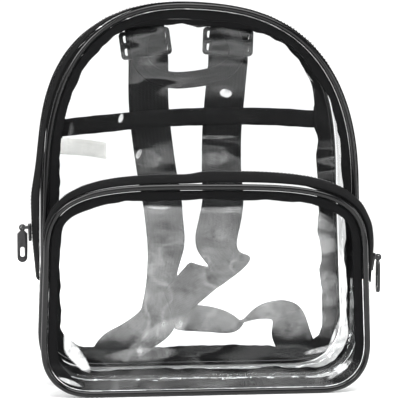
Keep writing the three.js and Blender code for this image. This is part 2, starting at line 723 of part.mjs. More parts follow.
for (const buckle of buckles) {
  const frame = add(buckle.side + "_buckle", buckleFrame(), "buckle");
  frame.position.copy(place(buckle, layers.buckle));
  frame.rotation.y = -radians(buckle.tilt);
  add(buckle.side + "_strap_tab", ribbon(threadRows(buckle, tabThread), strapThickness), "webbing");
  const run = strapRuns[buckle.side].map((row) => ({
    centre: place(row, backFace + strapThickness / 2 + row.behind * strapWidth),
    side: sideways(row.turn, row.dip),
    width: strapWidth * row.wide,
  }));
  const thread = threadRows(buckle, strapThread);
  const rows = [...thread.slice(0, -1), ...smoothRows([thread[thread.length - 1], ...run], strapSteps)];
  add(buckle.side + "_strap", ribbon(rows, strapThickness), "webbing");
}

// A band laid flat on the back, whose width stands square to its run
function flatBand(rows, width, count, thickness) {
  const centres = new THREE.CatmullRomCurve3(rows, false, "centripetal");
  const total = (rows.length - 1) * count;
  const made = [];
  for (let k = 0; k <= total; k++) {
    const along = centres.getTangent(k / total);
    made.push({
      centre: centres.getPoint(k / total),
      side: new THREE.Vector3(along.z, 0, -along.x).normalize(),
      width,
    });
  }
  return ribbon(made, thickness);
}

add("carry_handle", flatBand(
  handleRun.map((row) => place(row, layers.handle + row.behind * handleWidth)),
  handleWidth, handleSteps, handleThickness), "webbing");

// The cross band runs between the inner edges of the back binding
const innerLayer = plates.back.y - film / 2 - seamGap - tapeThickness / 2;
const backFilmInset = 2 * backPipingRadius + seamGap;

// The sides inside the back binding at a height
function insideBackBinding(height) {
  const widths = bindingWidths(outlines.back, backBindingWidth, crownBindingWidth);
  const out = outwards(outlines.back);
  const edge = outlines.back.map((p, i) => p.clone().addScaledVector(out[i], -backFilmInset - widths[i]));
  const crossing = (side) => {
    const half = edge.filter((p) => p.x * side > 0 && p.y > zipEndHeight);
    half.sort((a, b) => a.y - b.y);
    const next = half.findIndex((p) => p.y > height);
    const share = (height - half[next - 1].y) / (half[next].y - half[next - 1].y);
    return mix(half[next - 1].x, half[next].x, share);
  };
  return { left: crossing(-1), right: crossing(1) };
}

const bandTop = Math.max(...bandRun.map((row) => row.up)) * bagHeight + bandWidth / 2;
const bandEnds = insideBackBinding(bandTop);
add("back_band", flatBand(
  bandRun.map((row) => new THREE.Vector3(
    mix(bandEnds.left + seamGap, bandEnds.right - seamGap, (row.span + 1) / 2),
    innerLayer, row.up * bagHeight)),
  bandWidth, 1, tapeThickness), "binding");

// The label hangs from the left side of the back binding, tucked in front of it
function labelSheet() {
  const height = labelPlace.up * bagHeight;
  const start = insideBackBinding(height).left - labelPlace.tuck;
  const rows = [0, 0.25, 0.5, 0.75, 1].map((share) => ({
    centre: new THREE.Vector3(start + share * labelLength,
      innerLayer - tapeThickness / 2 - seamGap - labelThickness / 2 - Math.sin(share * 3) * 1.2,
      height - share * share * labelPlace.droop),
    side: new THREE.Vector3(0, 0, 1),
    width: labelHeight,
  }));
  return ribbon(rows, labelThickness);
}
add("label", labelSheet(), "label");

export default bag;
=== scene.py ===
import math

import bmesh
import bpy
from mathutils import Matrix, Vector, noise


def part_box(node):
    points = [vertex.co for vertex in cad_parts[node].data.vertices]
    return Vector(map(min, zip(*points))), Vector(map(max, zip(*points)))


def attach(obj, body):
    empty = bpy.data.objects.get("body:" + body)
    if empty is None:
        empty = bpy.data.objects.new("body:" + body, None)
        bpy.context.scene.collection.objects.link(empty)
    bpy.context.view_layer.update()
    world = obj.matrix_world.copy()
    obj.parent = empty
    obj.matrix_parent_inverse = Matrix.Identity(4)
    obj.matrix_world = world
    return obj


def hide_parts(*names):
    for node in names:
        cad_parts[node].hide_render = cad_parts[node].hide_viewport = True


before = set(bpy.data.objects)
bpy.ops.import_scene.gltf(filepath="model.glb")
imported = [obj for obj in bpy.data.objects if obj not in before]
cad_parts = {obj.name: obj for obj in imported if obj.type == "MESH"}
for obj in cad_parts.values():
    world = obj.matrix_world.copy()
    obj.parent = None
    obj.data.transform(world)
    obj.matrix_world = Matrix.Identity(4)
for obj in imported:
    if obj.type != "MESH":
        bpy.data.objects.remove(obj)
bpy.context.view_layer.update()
mm = 0.001


# Shader maths: a socket of a material that can be added to, scaled and mixed
class Socket:
    def __init__(self, finish, socket):
        self.finish = finish
        self.socket = socket

    def math(self, operation, *others):
        colour = any(isinstance(o, Socket) and o.socket.type != "VALUE" for o in (self, *others))
        if colour:
            return self.finish.node("ShaderNodeVectorMath", {"operation": operation}, self, *others)
        return self.finish.node("ShaderNodeMath", {"operation": operation}, self, *others)

    def __add__(self, other):
        return self.math("ADD", other)

    def __sub__(self, other):
        return self.math("SUBTRACT", other)

    def __rsub__(self, other):
        return self.finish.node("ShaderNodeMath", {"operation": "SUBTRACT"}, other, self)

    def __mul__(self, other):
        if hasattr(other, "__len__"):
            return self.finish.node("ShaderNodeVectorMath", {"operation": "MULTIPLY"}, self, other)
        if self.socket.type != "VALUE" and not isinstance(other, Socket):
            return self.finish.node("ShaderNodeVectorMath", {"operation": "SCALE"}, self, Scale=other)
        return self.math("MULTIPLY", other)

    def __pow__(self, other):
        return self.math("POWER", other)

    def __truediv__(self, other):
        return self.math("DIVIDE", other)

    def __gt__(self, other):
        return self.math("GREATER_THAN", other)

    __radd__ = __add__
    __rmul__ = __mul__

    def between(self, low, high, toLow=0.0, toHigh=1.0):
        return self.finish.node("ShaderNodeMapRange", {"clamp": True}, self, low, high, toLow, toHigh)

    def mixed(self, first, second):
        made = self.finish.node("ShaderNodeMix", {"data_type": "RGBA"}, self, A_Color=first, B_Color=second)
        return Socket(self.finish, made.socket.node.outputs[2])


# A material while it is being put together
class Finish:
    def __init__(self, name):
        self.material = bpy.data.materials.new(name)
        self.material.use_nodes = True
        self.tree = self.material.node_tree
        self.tree.nodes.clear()
        self.output = self.tree.nodes.new("ShaderNodeOutputMaterial")

    # Any node: its type, its settings, then the values or links of its sockets in order or by name
    def node(self, kind, settings=None, *values, **named):
        made = self.tree.nodes.new(kind)
        for key, value in (settings or {}).items():
            if key == "stops":
                self.setStops(made.color_ramp, value)
            else:
                setattr(made, key, value)
        for index, value in enumerate(values):
            self.feed(made.inputs[index], value)
        for key, value in named.items():
            wanted = key.replace("_", " ")
            found = [s for s in made.inputs if s.identifier in (key, wanted) or s.name == wanted]
            self.feed(found[0], value)
        outputs = [s for s in made.outputs if s.enabled]
        return Socket(self, outputs[0])

    def feed(self, socket, value):
        if isinstance(value, Socket):
            self.tree.links.new(value.socket, socket)
        elif socket.type == "RGBA" and not hasattr(value, "__len__"):
            socket.default_value = (value, value, value, 1)
        elif socket.type == "RGBA":
            socket.default_value = (*value, 1)
        else:
            socket.default_value = value

    def setStops(self, ramp, stops):
        while len(ramp.elements) < len(stops):
            ramp.elements.new(0.5)
        for element, (place, value) in zip(ramp.elements, stops):
            element.position = place
            element.color = (value, value, value, 1)

    def places(self, source="Object"):
        made = self.tree.nodes.new("ShaderNodeTexCoord")
        return Socket(self, made.outputs[source])

    def noise(self, places, scale, detail=2.0, roughness=0.5):
        return self.node("ShaderNodeTexNoise", None, Vector=places, Scale=scale, Detail=detail, Roughness=roughness)

    def bump(self, height, strength, distance):
        return self.node("ShaderNodeBump", None, Height=height, Strength=strength, Distance=distance)

    def principled(self, **named):
        return self.node("ShaderNodeBsdfPrincipled", None, **named)

    def done(self, shader):
        self.tree.links.new(shader.socket, self.output.inputs["Surface"])
        return self.material


print("camera and studio")

view = {
    "eye": (-80, -840, 165),
    "aim": (-2.2, -40, 147),
    "lens": 90.9,
}


def look(eye, aim):
    return (Vector(aim) - Vector(eye)).to_track_quat("-Z", "Y")


def addCamera():
    data = bpy.data.cameras.new("camera")
    data.lens = view["lens"]
    data.clip_start = 0.01
    data.clip_end = 50
    camera = bpy.data.objects.new("camera", data)
    camera.location = Vector(view["eye"]) * mm
    camera.rotation_mode = "QUATERNION"
    camera.rotation_quaternion = look(view["eye"], view["aim"])
    bpy.context.collection.objects.link(camera)
    bpy.context.scene.camera = camera


addCamera()

studio = {
    "backdrop": 1.12,                   # what the camera sees behind the bag
    "room": 0.08,                        # what lights and mirrors in the bag
    "floor": (0.93, 0.93, 0.93),
    "sun": {"strength": 4.0, "spread": 55, "from": (0.1, -0.3, 1.0)},
    "lamps": [
        {"name": "keySoftbox", "at": (-650, -1150, 900), "size": (600, 420), "power": 12},
        {"name": "fillSoftbox", "at": (950, -1050, 500), "size": (420, 700), "power": 7},
        {"name": "broadSoftbox", "at": (-500, -1900, 1000), "size": (1500, 700), "power": 5},
        {"name": "leftStrip", "at": (-1000, -150, 300), "size": (140, 900), "power": 4},
        {"name": "rightStrip", "at": (1000, 50, 300), "size": (140, 900), "power": 4},
        {"name": "backSoftbox", "at": (150, 1200, 600), "size": (1200, 800), "power": 8},
    ],
}


def addWorld():
    world = bpy.data.worlds.new("studio")
    world.use_nodes = True
    tree = world.node_tree
    path = tree.nodes.new("ShaderNodeLightPath")
    level = tree.nodes.new("ShaderNodeMapRange")
    level.inputs["To Min"].default_value = studio["room"]
    level.inputs["To Max"].default_value = studio["backdrop"]
    tree.links.new(path.outputs["Is Camera Ray"], level.inputs["Value"])
    background = tree.nodes["Background"]
    background.inputs["Color"].default_value = (1, 1, 1, 1)
    tree.links.new(level.outputs["Result"], background.inputs["Strength"])
    bpy.context.scene.world = world


def addLamp(lamp):
    data = bpy.data.lights.new(lamp["name"], "AREA")
    data.shape = "RECTANGLE"
    data.size, data.size_y = (side * mm for side in lamp["size"])
    data.energy = lamp["power"]
    made = bpy.data.objects.new(lamp["name"], data)
    made.location = Vector(lamp["at"]) * mm
    made.rotation_mode = "QUATERNION"
    made.rotation_quaternion = look(lamp["at"], (0, 0, 150))
    bpy.context.collection.objects.link(made)


def addStudio():
    view = bpy.context.scene.view_settings
    view.view_transform = "Standard"
    view.look = "None"
    addWorld()
    sun = studio["sun"]
    data = bpy.data.lights.new("overheadSun", "SUN")
    data.energy = sun["strength"]
    data.angle = math.radians(sun["spread"])
    made = bpy.data.objects.new("overheadSun", data)
    made.rotation_mode = "QUATERNION"
    made.rotation_quaternion = look(sun["from"], (0, 0, 0))
    bpy.context.collection.objects.link(made)
    for lamp in studio["lamps"]:
        addLamp(lamp)


def addFloor():
    finish = Finish("floor")
    grain = finish.noise(finish.places(), 3.0)
    shade = grain.mixed(studio["floor"], tuple(c * 0.985 for c in studio["floor"]))
    side = 20000 * mm
    mesh = bpy.data.meshes.new("floor")
    mesh.from_pydata([(-side, -side, 0), (side, -side, 0), (side, side, 0), (-side, side, 0)], [], [(0, 1, 2, 3)])
    mesh.materials.append(finish.done(finish.principled(Base_Color=shade, Roughness=0.9)))
    floor = bpy.data.objects.new("floor", mesh)
    floor.location.z = -0.2 * mm
    bpy.context.collection.objects.link(floor)


addStudio()
addFloor()

print("materials")


# Where a film is milky, which on the pocket also paints in a reflection of the room as a veil: shares kept over dark
# things by height, from the foot up, and out to its sides
hazeAndReflectionZones = {
    "pocket": {"bare": (21, 41), "foot": 0.5, "side": (84, 98), "sideKept": 0.1, "top": (152, 158)},
}
# Painted highlights where the film would catch the light, as milky ellipses on the film: middle, half sizes, turn and
# strength
paintedGlints = {
    "front": [
        {"x": 18.6, "z": 232.0, "long": 4.6, "tall": 3.2, "turn": -8, "strength": 0.7},
        {"x": -64.8, "z": 211.8, "long": 2.0, "tall": 4.2, "turn": -20, "strength": 0.7},
        {"x": -50.7, "z": 183.5, "long": 2.0, "tall": 3.8, "turn": -25, "strength": 0.6},
        {"x": 10.0, "z": 197.0, "long": 17, "tall": 1.5, "turn": 1, "strength": 0.16},
        {"x": 9.0, "z": 180.0, "long": 16, "tall": 5, "turn": 3, "strength": 0.1},
        {"x": -45.0, "z": 180.0, "long": 12, "tall": 7, "turn": -5, "strength": 0.13},
        {"x": -112.0, "z": 202.0, "long": 10, "tall": 9, "turn": 20, "strength": 0.1},
        {"x": 70.0, "z": 268.0, "long": 17, "tall": 1.1, "turn": -44, "strength": 0.6},
        {"x": 84.0, "z": 247.0, "long": 12, "tall": 1.4, "turn": -38, "strength": 0.5},
    ],
    "pocket": [
        {"x": -38, "z": 143, "long": 9.5, "tall": 2.2, "turn": -3, "strength": 0.22},
        {"x": 10, "z": 141, "long": 17, "tall": 3.0, "turn": 0, "strength": 0.12},
        {"x": -38, "z": 46, "long": 24, "tall": 8, "turn": 32, "strength": 0.2},
        {"x": 84, "z": 131, "long": 17, "tall": 4, "turn": -24, "strength": 0.12},
        {"x": 88, "z": 114, "long": 12, "tall": 8, "turn": -10, "strength": 0.13},
        {"x": 92, "z": 80, "long": 9, "tall": 13, "turn": 4, "strength": 0.11},
        {"x": -50, "z": 32, "long": 26, "tall": 5, "turn": 3, "strength": 0.13},
        {"x": -104, "z": 38, "long": 22, "tall": 5.0, "turn": -52, "strength": 0.75},
        {"x": -104, "z": 12, "long": 9, "tall": 1.5, "turn": -22, "strength": 0.7},
        {"x": 102, "z": 18, "long": 12, "tall": 2.6, "turn": 38, "strength": 0.6},
        {"x": 99, "z": 50, "long": 26, "tall": 1.3, "turn": 68, "strength": 0.5},
        {"x": 90, "z": 34, "long": 16, "tall": 2.2, "turn": 12, "strength": 0.35},
    ],
}


# Clear film: mostly see-through, with a milky haze in clouds that on the pocket also stands in for a painted
# reflection, swirling bands of painted reflection, and a mirror at its edges
def filmFinish(name, hazeAndReflection, paintedReflection, edge, gloss, ripple, zone=None, glints=(), calm=None):
    finish = Finish(name)
    places = finish.places()
    broad = finish.noise(places, 26.0, 2.0)
    fine = finish.noise(places, 180.0, 3.0)
    normal = finish.bump(broad + fine * 0.08, 1.0, ripple * mm)
    facing = finish.node("ShaderNodeLayerWeight", None, 0.5, normal)
    facing = Socket(finish, facing.socket.node.outputs["Facing"])
    cloud = finish.noise(places, 26.0, 8.0, 0.74)
    # The swirling bands below are painted reflections, laid into the film's milky share
    wide = finish.noise(places * (0.62, 1, 2.2), 13.0, 2.5, 0.45)
    patch = finish.noise(places * (1, 1, 1.5), 13.0, 1.0).between(0.4, 0.46)
    contour = (wide * 30.0).math("SINE")
    line = (wide * 62.0).math("SINE").between(0.55, 0.9)
    reflectionBands = patch * (contour.between(-0.75, -0.4) * 0.62 + line * 0.38)
    # Painted highlights along crease lines of the film
    creaseHighlight = (finish.noise(places, 31.0, 2.0) - 0.5).math("ABSOLUTE").between(0.035, 0, 0, hazeAndReflection * 0.55)
    milkAndPaintedLight = cloud.between(0.38, 0.62, hazeAndReflection * 0.55, hazeAndReflection * 1.3) + creaseHighlight
    parts = finish.node("ShaderNodeSeparateXYZ", None, places)
    x, z = (Socket(finish, parts.socket.node.outputs[axis]) for axis in "XZ")
    rim = Socket(finish, finish.node("ShaderNodeSeparateXYZ", None, finish.places("UV")).socket.node.outputs["Y"])
    inside = rim.between(12 * mm, 14 * mm) if glints else 1.0
    if zone:
        inside = inside.math("MAXIMUM", z.between(26 * mm, 18 * mm))
    # The pocket's milky veil, partly haze and partly a painted reflection of the room, is kept by height and faded at
    # the sides and top
    if zone:
        wavy = z + (cloud - 0.5) * 0.03
        low, high = (place * mm for place in zone["bare"])
        height = wavy.between(high, high + 14 * mm) + wavy.between(low, low - 10 * mm, 0, zone["foot"])
        side = x.math("ABSOLUTE").between(*(place * mm for place in zone["side"]), 1, zone["sideKept"])
        milkAndPaintedLight = milkAndPaintedLight * height * side * wavy.between(*(place * mm for place in zone["top"]), 1, zone["sideKept"])
    # Painted glints: milky ellipses, broken up by streaks, added where the film would catch the light
    streak = finish.noise(places * (1, 1, 0.6), 150.0, 3.0).between(0.4, 0.56, 0.45, 1)
    for glint in glints:
        turn = math.radians(glint["turn"])
        across = (x - glint["x"] * mm) * math.cos(turn) + (z - glint["z"] * mm) * math.sin(turn)
        up = (z - glint["z"] * mm) * math.cos(turn) - (x - glint["x"] * mm) * math.sin(turn)
        long, tall = across / (glint["long"] * mm), up / (glint["tall"] * mm)
        milkAndPaintedLight = milkAndPaintedLight + (long * long + tall * tall + cloud * 1.5).between(2.0, 1.4) * streak * glint["strength"]
    # The painted reflection bands are kept only over the given heights
    if calm:
        start, fade, back = ([place * mm for place in heights] for heights in calm)
        reflectionBands = reflectionBands * (z.between(*start) * z.between(*fade, 1, 0) + z.between(*back))
    factor = (milkAndPaintedLight + reflectionBands * paintedReflection) * inside + facing ** 3.0 * edge
    shader = finish.principled(Base_Color=(0.93, 0.94, 0.94), Roughness=0.06, Metallic=gloss, Normal=normal)
    clear = finish.node("ShaderNodeBsdfTransparent", None, (0.985, 0.99, 0.99))
    return finish.done(finish.node("ShaderNodeMixShader", None, factor.between(0, 1), clear, shader))


def plasticFinish(name, colour, roughness, grain, scale, coat=0.0):
    finish = Finish(name)
    places = finish.places()
    cloud = finish.noise(places, 40.0, 3.0)
    fine = finish.noise(places, scale, 2.0)
    shade = cloud.mixed(colour, tuple(c * 1.35 for c in colour))
    rough = fine.between(0.3, 0.7, roughness * 0.8, roughness * 1.25)
    normal = finish.bump(fine, 0.5, grain * mm)
    return finish.done(finish.principled(Base_Color=shade, Roughness=rough, Normal=normal, Specular_IOR_Level=0.2,
                                         Coat_Weight=coat, Coat_Roughness=0.1))


def clothFinish(name, colour, roughness, pitch, ribs):
    finish = Finish(name)
    places = finish.places("UV")
    parts = finish.node("ShaderNodeSeparateXYZ", None, places)
    along = Socket(finish, parts.socket.node.outputs["X"])
    across = Socket(finish, parts.socket.node.outputs["Y"])
    turn = 2 * math.pi / pitch
    warp = (across * turn * ribs).math("SINE")
    weft = (along * turn + across * turn * 0.5).math("SINE")
    weave = warp * 0.5 + weft * 0.5
    wear = finish.noise(finish.places(), 60.0, 4.0, 0.6)
    shade = (weave.between(-1, 1) * 0.25 + wear * 0.75).mixed(colour, tuple(c * 1.9 for c in colour))
    rough = wear.between(0.3, 0.7, roughness * 0.9, min(roughness * 1.1, 1.0))
    normal = finish.bump(weave, 0.35, 0.12 * mm)
    return finish.done(finish.principled(Base_Color=shade, Roughness=rough, Normal=normal,
                                         Specular_IOR_Level=0.07))


# On the pocket film the haze also paints a reflection veil; the swirl strength sets the painted reflection bands
finishes = {
    "pocketFilm": filmFinish("pocketFilm", hazeAndReflection=0.135, paintedReflection=0.03, edge=0.6, gloss=0.15, ripple=0.4,
                             zone=hazeAndReflectionZones["pocket"], glints=paintedGlints["pocket"]),
    "frontFilm": filmFinish("frontFilm", hazeAndReflection=0.006, paintedReflection=0.085, edge=0.7, gloss=0.3, ripple=0.9,
                            glints=paintedGlints["front"], calm=[(146, 158), (188, 197), (226, 236)]),
    "backFilm": filmFinish("backFilm", hazeAndReflection=0.02, paintedReflection=0.0, edge=0.7, gloss=0.85, ripple=0.5),
    "wallFilm": filmFinish("wallFilm", hazeAndReflection=0.05, paintedReflection=0.16, edge=0.9, gloss=0.8, ripple=0.9),
    "piping": plasticFinish("piping", (0.003, 0.003, 0.0032), 0.16, 0.02, 900.0, 0.3),
    "buckle": plasticFinish("buckle", (0.006, 0.006, 0.0063), 0.4, 0.06, 1500.0),
    "metal": plasticFinish("metal", (0.012, 0.012, 0.013), 0.32, 0.03, 1200.0, 0.4),
    "binding": clothFinish("binding", (0.0035, 0.0035, 0.0037), 0.7, 0.9 * mm, 1.0),
    "tape": clothFinish("tape", (0.0045, 0.0045, 0.0047), 0.85, 0.8 * mm, 2.0),
    "webbing": clothFinish("webbing", (0.006, 0.006, 0.0063), 0.8, 1.6 * mm, 0.5),
    "coil": plasticFinish("coil", (0.006, 0.006, 0.0063), 0.3, 0.04, 1500.0, 0.25),
    "label": clothFinish("label", (0.5, 0.5, 0.485), 0.8, 0.5 * mm, 1.0),
}


# Puts a mesh of points and faces into the scene as a piece, with places on it for the weave
def piece(name, points, faces, finish, slot, replaces=(), uvs=None, smooth=True, body="root"):
    mesh = bpy.data.meshes.new(name)
    mesh.from_pydata(points, [], faces)
    if uvs:
        layer = mesh.uv_layers.new(name="weave")
        for polygon in mesh.polygons:
            for corner in polygon.loop_indices:
                layer.data[corner].uv = uvs[mesh.loops[corner].vertex_index]
    mesh.materials.append(finishes[finish])
    for polygon in mesh.polygons:
        polygon.use_smooth = smooth
    made = bpy.data.objects.new(name, mesh)
    bpy.context.collection.objects.link(made)
    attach(made, body)
    if replaces:
        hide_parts(*replaces)
    return made


# A grid of rows of points as one sheet; the rows may close round
def grid(rows, closed=False):
    across = len(rows[0])
    points = [p for row in rows for p in row]
    faces, uvs = [], []
    count = len(rows)
    for i in range(count if closed else count - 1):
        for j in range(across - 1):
            a, b = i * across + j, ((i + 1) % count) * across + j
            faces.append((a, b, b + 1, a + 1))
    run = 0.0
    middle = across // 2
    for i, row in enumerate(rows):
        if i:
            run += (row[middle] - rows[i - 1][middle]).length
        width = 0.0
        for j, p in enumerate(row):
            if j:
                width += (p - row[j - 1]).length
            uvs.append((run, width))
    return points, faces, uvs


def cadMesh(node):
    made = bmesh.new()
    made.from_mesh(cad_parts[node].data)
    bmesh.ops.remove_doubles(made, verts=made.verts, dist=0.005 * mm)
    return made


# The closed loops where a plane square to the depth cuts a CAD node
def cutLoops(node, y):
    cut = cadMesh(node)
    everything = cut.verts[:] + cut.edges[:] + cut.faces[:]
    found = bmesh.ops.bisect_plane(cut, geom=everything, dist=1e-7, plane_co=(0, y, 0), plane_no=(0, 1, 0))
    waiting = {e for e in found["geom_cut"] if isinstance(e, bmesh.types.BMEdge)}
    loops = []
    while waiting:
        edge = waiting.pop()
        first, here = edge.verts
        loop = [first.co.copy()]
        while here is not first:
            loop.append(here.co.copy())
            edge = next((e for e in here.link_edges if e in waiting), None)
            if edge is None:
                break
            waiting.discard(edge)
            here = edge.other_vert(here)
        loops.append(loop)
    cut.free()
    return loops


def evenly(points, count, closed=False):
    line = points + points[:1] if closed else points
    runs = [0.0]
    for a, b in zip(line, line[1:]):
        runs.append(runs[-1] + (b - a).length)
    result = []
    i = 1
    for k in range(count):
        wanted = runs[-1] * k / (count if closed else count - 1)
        while i < len(line) - 1 and runs[i] < wanted:
            i += 1
        share = (wanted - runs[i - 1]) / max(runs[i] - runs[i - 1], 1e-9)
        result.append(line[i - 1].lerp(line[i], min(max(share, 0), 1)))
    return result


def smoothed(points, rounds, closed=False):
    for _ in range(rounds):
        count = len(points)
        moved = []
        for i, p in enumerate(points):
            if not closed and i in (0, count - 1):
                moved.append(p)
            else:
                moved.append(p * 0.5 + (points[i - 1] + points[(i + 1) % count]) * 0.25)
        points = moved
    return points


# The outer way round a flat plate or ring, in its own plane
def plateOutline(node, y, count):
    loop = max(cutLoops(node, y * mm), key=lambda l: max(p.x for p in l) - min(p.x for p in l))
    if sum(a.x * b.z - b.x * a.z for a, b in zip(loop, loop[1:] + loop[:1])) < 0:
        loop.reverse()
    start = min(range(len(loop)), key=lambda i: abs(loop[i].x) + (100 if loop[i].z > 0.1 else 0))
    loop = loop[start:] + loop[:start]
    return smoothed(evenly(loop, count, True), 6, True)


def outwards(points):
    count = len(points)
    result = []
    for i in range(count):
        along = points[(i + 1) % count] - points[i - 1]
        result.append(Vector((along.z, 0, -along.x)).normalized())
    return result


# One skin of a wall strip as an open line at a depth, from its right end round to its left
def stripLine(node, y, count, foot):
    loop = max(cutLoops(node, y * mm), key=len)
    end = max(p.z for p in loop) if foot else min(p.z for p in loop)
    total = len(loop)
    ends = [i for i in range(total)
            if abs(loop[i].z - end) < 1.2 * mm and abs(loop[(i + 1) % total].z - end) < 1.2 * mm
            and loop[i].x * loop[(i + 1) % total].x > 0]
    right = next(i for i in ends if loop[i].x > 0)
    left = next(i for i in ends if loop[i].x < 0)
    walk = lambda a, b: [loop[(a + k) % total] for k in range((b - a) % total + 1)]
    sides = [walk((right + 1) % total, left), walk((left + 1) % total, right)[::-1]]
    middle = Vector((0, 0, 0.14))
    reach = lambda line: sum(((p - middle) * Vector((1, 0, 1))).length for p in line) / len(line)
    outer = max(sides, key=reach)
    if outer[0].x < 0:
        outer.reverse()
    return smoothed(evenly(outer, count), 6)


print("clear film")

films = {
    "rings": 34,
    "steps": 176,
    "pocket": {"node": "pocket_face", "y": -82, "bulge": -3.0, "wave": 0.8, "length": 60, "seed": 3.1},
    "front": {"node": "front_panel", "y": -40, "bulge": 0.0, "wave": 1.1, "length": 48, "seed": 8.7},
    "back": {"node": "back_panel", "y": 40, "bulge": 0.0, "wave": 0.25, "length": 55, "seed": 5.3},
}


def addPlateFilm(name, finish):
    film = films[name]
    outline = plateOutline(film["node"], film["y"], films["steps"])
    middle = sum(outline, Vector()) / len(outline)
    rings = films["rings"]
    points, faces, uvs = [], [], []
    for ring in range(rings):
        share = 1 - (ring / rings) ** 1.2
        for i, p in enumerate(outline):
            q = middle.lerp(p, share)
            uvs.append((i * mm, (q - p).length))
            slack = min(1, (1 - share) * 5)
            place = Vector((q.x, q.z, film["seed"])) / (film["length"] * mm)
            ripple = noise.fractal(place, 0.6, 2.0, 2) * film["wave"] * slack
            q.y = (film["y"] + film["bulge"] * (1 - share * share) + ripple) * mm
            points.append(q)
    count = len(outline)
    for ring in range(rings - 1):
        for i in range(count):
            a, b = ring * count + i, ring * count + (i + 1) % count
            faces.append((a, b, b + count, a + count))
    last = (rings - 1) * count
    points.append(sum((points[last + i] for i in range(count)), Vector()) / count)
    uvs.append((0, uvs[last][1]))
    faces += [(last + i, last + (i + 1) % count, len(points) - 1) for i in range(count)]
    return piece(name + "Film", points, faces, finish, "film", [film["node"]], uvs)


addPlateFilm("pocket", "pocketFilm")
addPlateFilm("front", "frontFilm")
addPlateFilm("back", "backFilm")

wallFilms = [
    {"name": "footFilm", "node": "gusset_bottom", "foot": True, "wave": 1.3, "fold": 1.5, "seed": 2.2},
    {"name": "archFilm", "node": "gusset_top", "foot": False, "wave": 1.0, "fold": 0.8, "seed": 6.4},
    {"name": "pocketWallFilm", "node": "pocket_gusset", "foot": True, "wave": 1.0, "fold": 2.2, "seed": 9.5},
]


def stripRows(node, foot, count, cuts, inset=0.05):
    low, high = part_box(node)
    rows = []
    for k in range(cuts + 1):
        y = (low[1] + (high[1] - low[1]) * k / cuts) / mm
        y = min(max(y, low[1] / mm + inset), high[1] / mm - inset)
        rows.append(stripLine(node, y, count, foot))
    return [list(row) for row in zip(*rows)]


def addWallFilm(film):
    rows = stripRows(film["node"], film["foot"], 260, 20)
    for i, row in enumerate(rows):
        for j, p in enumerate(row):
            slack = math.sin(math.pi * j / (len(row) - 1)) * min(1, i / 9, (len(rows) - 1 - i) / 9)
            inwards = (Vector((0, p.y, 0.14)) - p).normalized()
            place = Vector((p.x, p.z, p.y * 0.6 + film["seed"])) / (34 * mm)
            fold = 1 - min(abs(noise.noise(place * 1.3 + Vector((5, 0, 0)))) * 7, 1)
            pleat = 1 - min(abs(noise.noise(place * 3.1 + Vector((0, 9, 0)))) * 5, 1)
            dent = (0.5 + noise.fractal(place, 0.7, 2.0, 2)) * film["wave"] + (fold + pleat * 0.45) * film["fold"]
            row[j] = p + inwards * dent * slack * mm
    points, faces, uvs = grid(rows)
    return piece(film["name"], points, faces, "wallFilm", "film", [film["node"]], uvs)


for film in wallFilms:
    addWallFilm(film)

print("piping and bindings")

trims = {
    "pocket": {"y": -82, "bead": 2.3, "gap": 0.3, "width": 7, "frill": 0.35, "side": 1},
    "front": {"y": -40, "bead": 2.3, "gap": 0.3, "width": 7, "frill": 0.6, "side": 1},
    "back": {"y": 40, "bead": 1.6, "gap": 0.3, "width": 13.5, "crown": 6, "frill": 1.0, "cut": (13.5, 960), "kept": 0.9, "side": -1},
    "sides": 12,
    "steps": 300,
    "waves": [{"length": 22, "reach": 3.4}, {"length": 8, "reach": 1.3}],
}


# How far a sewn tape's inner edge wanders at a place on its run
def wander(place, seed):
    return sum(noise.noise(place / (w["length"] * mm) + Vector((seed, 0, seed))) * w["reach"] for w in trims["waves"])


def tube(line, outward, radius, sides):
    rows = []
    for p, out in zip(line, outward):
        row = []
        for k in range(sides + 1):
            angle = 2 * math.pi * k / sides
            row.append(p + out * math.cos(angle) * radius + Vector((0, math.sin(angle) * radius, 0)))
        rows.append(row)
    return rows


def addTrim(name):
    trim = trims[name]
    outline = plateOutline(name + "_piping", trim["y"], trims["steps"])
    out = outwards(outline)
    line = [p - o * trim["bead"] * mm for p, o in zip(outline, out)]
    points, faces, uvs = grid(tube(line, out, trim["bead"] * mm, trims["sides"]), True)
    piece(name + "Piping", points, faces, "piping", "piping", [name + "_piping"], uvs)
    cuts = 6
    start = 2 * trim["bead"] + trim["gap"]
    layer = trim["y"] + trim["side"] * 1.3
    top = max(p.z for p in outline)
    rows = []
    for p, o in zip(outline, out):
        narrowing = min(max((p.z / top - 0.72) / 0.2, 0), 1)
        width = trim["width"] + (trim.get("crown", trim["width"]) - trim["width"]) * narrowing
        width += wander(p, trim["y"]) * trim["frill"]
        row = []
        for k in range(cuts + 1):
            q = p - o * (start + width * k / cuts) * mm
            q.y = (layer + trim["side"] * abs(wander(q, trim["y"] + 4)) * 0.3 * k / cuts) * mm
            row.append(q)
        rows.append(row)
    points, faces, uvs = grid(rows, True)
    binding = piece(name + "Binding", points, faces, "binding", "binding", [name + "_binding"], uvs)
    thick = binding.modifiers.new("thickness", "SOLIDIFY")
    thick.thickness = 0.9 * mm
    thick.offset = 0
    if "cut" in trim:
        width, length = (side * mm for side in trim["cut"])
        width * length * trim["kept"]


for name in ("pocket", "front", "back"):
    addTrim(name)

print("zips")


def addTape(name, node):
    rows = stripRows(node, False, 170, 6)
    points, faces, uvs = grid(rows)
    tape = piece(name, points, faces, "tape", "zip_tape", [node], uvs)
    thick = tape.modifiers.new("thickness", "SOLIDIFY")
    thick.thickness = 0.9 * mm
    thick.offset = -1


for wall, cut in (("main", (16, 640)), ("pocket", (16, 400))):
    addTape(wall + "TapeFront", wall + "_tape_front")
    addTape(wall + "TapeRear", wall + "_tape_rear")

teeth = {"pitch": 1.5, "width": 3.4, "wire": 0.85, "height": 1.6, "cord": 2.6}


